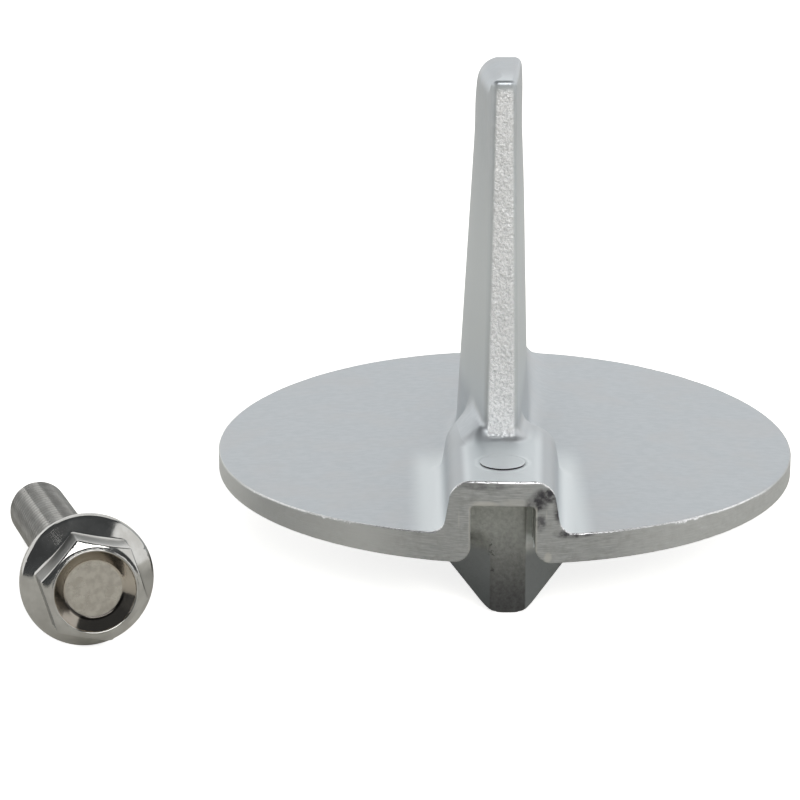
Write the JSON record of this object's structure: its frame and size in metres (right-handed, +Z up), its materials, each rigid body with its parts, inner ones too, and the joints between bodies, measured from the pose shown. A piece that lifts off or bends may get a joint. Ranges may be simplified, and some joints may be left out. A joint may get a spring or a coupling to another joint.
{
  "type": "trim tab anode",
  "caption": "Sacrificial trim tab anode for a boat's drive leg: a cast disc with a steering fin, arch and keel, a cast-in threaded insert, and its loose flange bolt.",
  "frame": {"origin": "mouth of the insert's threaded hole, on the disc's axis, in the plane that the hub, the keel and the loose bolt rest on", "axes": "+Z up through the disc to the fin's tip, -Y towards the front edge with the arch and the fin's nose, +X to the right seen from the front; the part is stored fin up and is fitted fin down"},
  "size_m": [0.136, 0.1151, 0.085],
  "materials": {
    "anode_alloy": "as-cast sacrificial anode alloy, pale blue-grey, finely brushed on top, sanded rim",
    "insert_steel": "machined steel",
    "bolt_steel": "polished stainless steel"
  },
  "bodies": {
    "anode": {"anode_casting": "anode_alloy", "threaded_insert": "insert_steel"},
    "bolt": {"flange_bolt": "bolt_steel"}
  },
  "joints": [
    {"name": "bolt_lift", "type": "slide", "parent": "anode", "child": "bolt", "axis": [0, 0, 1], "range_m": [0, 0.09]}
  ]
}
